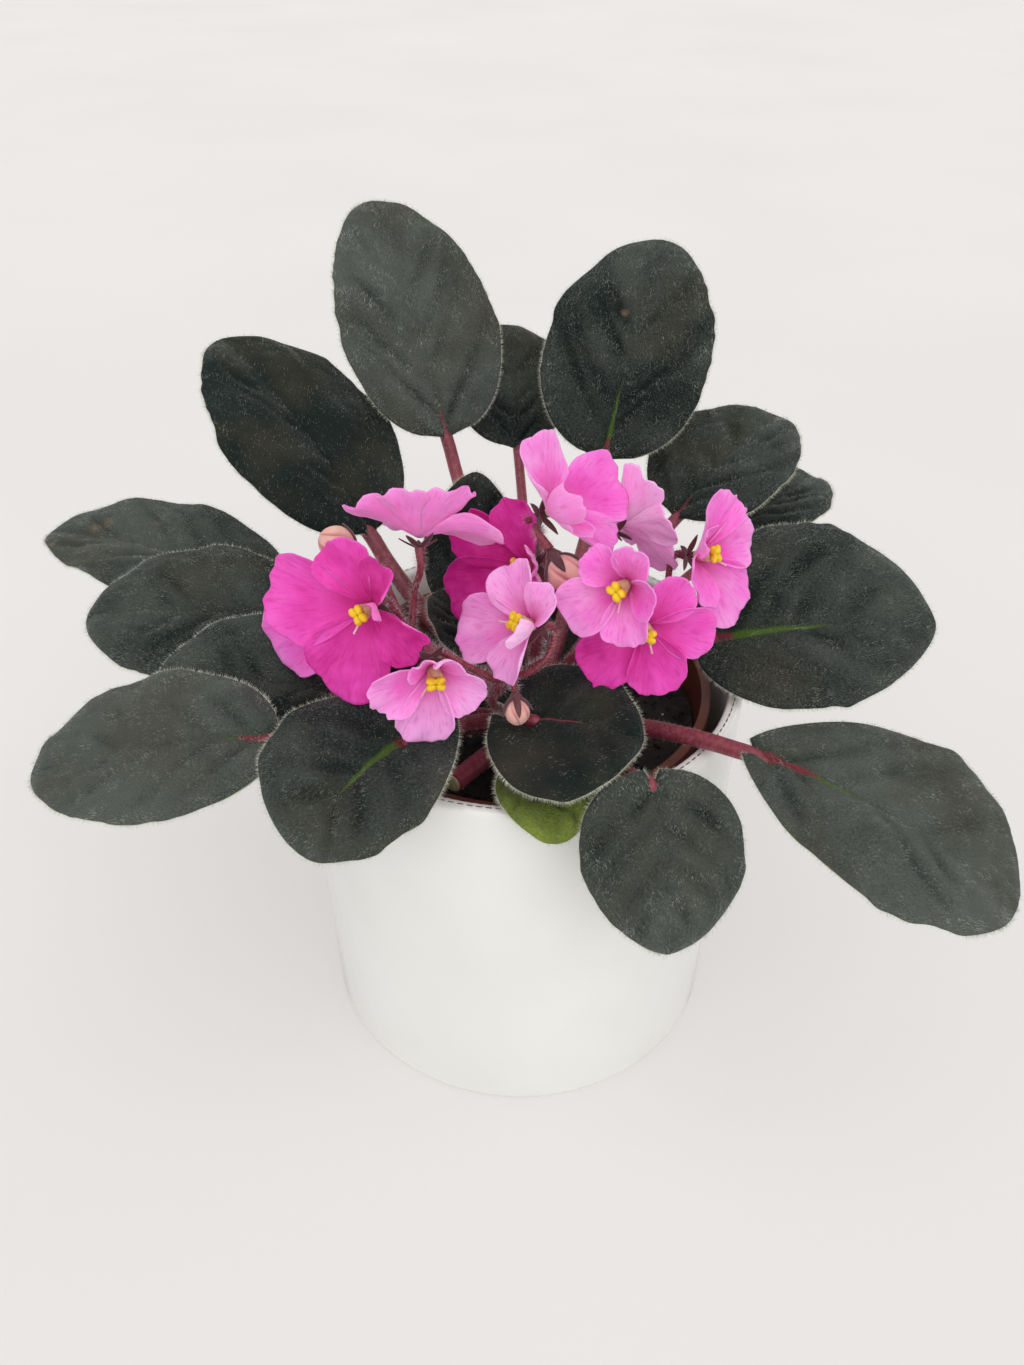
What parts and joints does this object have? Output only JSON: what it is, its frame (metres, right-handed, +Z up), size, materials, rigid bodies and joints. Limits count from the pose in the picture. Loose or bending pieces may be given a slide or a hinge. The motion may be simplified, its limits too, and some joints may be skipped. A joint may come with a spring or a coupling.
{
  "type": "potted african violet",
  "caption": "Flowering African violet with velvety oval leaves and pink flowers round a short stem, standing in a plain straight white pot.",
  "frame": {"origin": "centre of the pot's underside", "axes": "+Z up along the pot's axis, -Y towards the front of the plant, +X to the viewer's right"},
  "size_m": [0.2874, 0.2257, 0.2301],
  "materials": {
    "glazed_pot": "smooth white gloss glaze",
    "pot_plastic": "satin red-brown plastic",
    "soil": "coarse near-black peat mix",
    "leaf_stalk": "hairy red-brown flesh",
    "leaf": "velvety dark grey-green",
    "leaf_pale": "velvety yellow-green",
    "petal": "soft pink, paler at the edge",
    "anther": "matt yellow",
    "flower_stalk": "hairy red-brown flesh",
    "bud": "soft peach pink"
  },
  "bodies": {
    "root": {"pot": "glazed_pot", "nursery_pot": "pot_plastic", "soil": "soil", "crown": "leaf_stalk", "leaf_far_left": "leaf", "leaf_left": "leaf", "leaf_left_low": "leaf", "leaf_bottom_left": "leaf", "leaf_front_left": "leaf", "leaf_front_middle": "leaf", "leaf_front_pale": "leaf_pale", "leaf_front_right": "leaf", "leaf_right_low": "leaf", "leaf_right": "leaf", "leaf_right_behind": "leaf", "leaf_right_upper": "leaf", "leaf_top_right": "leaf", "leaf_top_middle": "leaf", "leaf_top_left": "leaf", "leaf_left_upper": "leaf", "leaf_centre_back": "leaf", "leaf_centre": "leaf", "corolla_left": "petal", "anthers_left": "anther", "corolla_left_behind": "petal", "anthers_left_behind": "anther", "corolla_front_left": "petal", "anthers_front_left": "anther", "corolla_front": "petal", "anthers_front": "anther", "corolla_top_left": "petal", "anthers_top_left": "anther", "corolla_middle": "petal", "anthers_middle": "anther", "corolla_top": "petal", "anthers_top": "anther", "corolla_top_right": "petal", "anthers_top_right": "anther", "corolla_right_front": "petal", "anthers_right_front": "anther", "corolla_right": "petal", "anthers_right": "anther", "corolla_right_low": "petal", "anthers_right_low": "anther", "stalks_left": "flower_stalk", "stalks_front": "flower_stalk", "stalks_right": "flower_stalk", "stalks_back": "flower_stalk", "bud_top": "bud", "bud_left": "bud", "bud_front": "bud", "bud_right": "bud"}
  },
  "joints": []
}
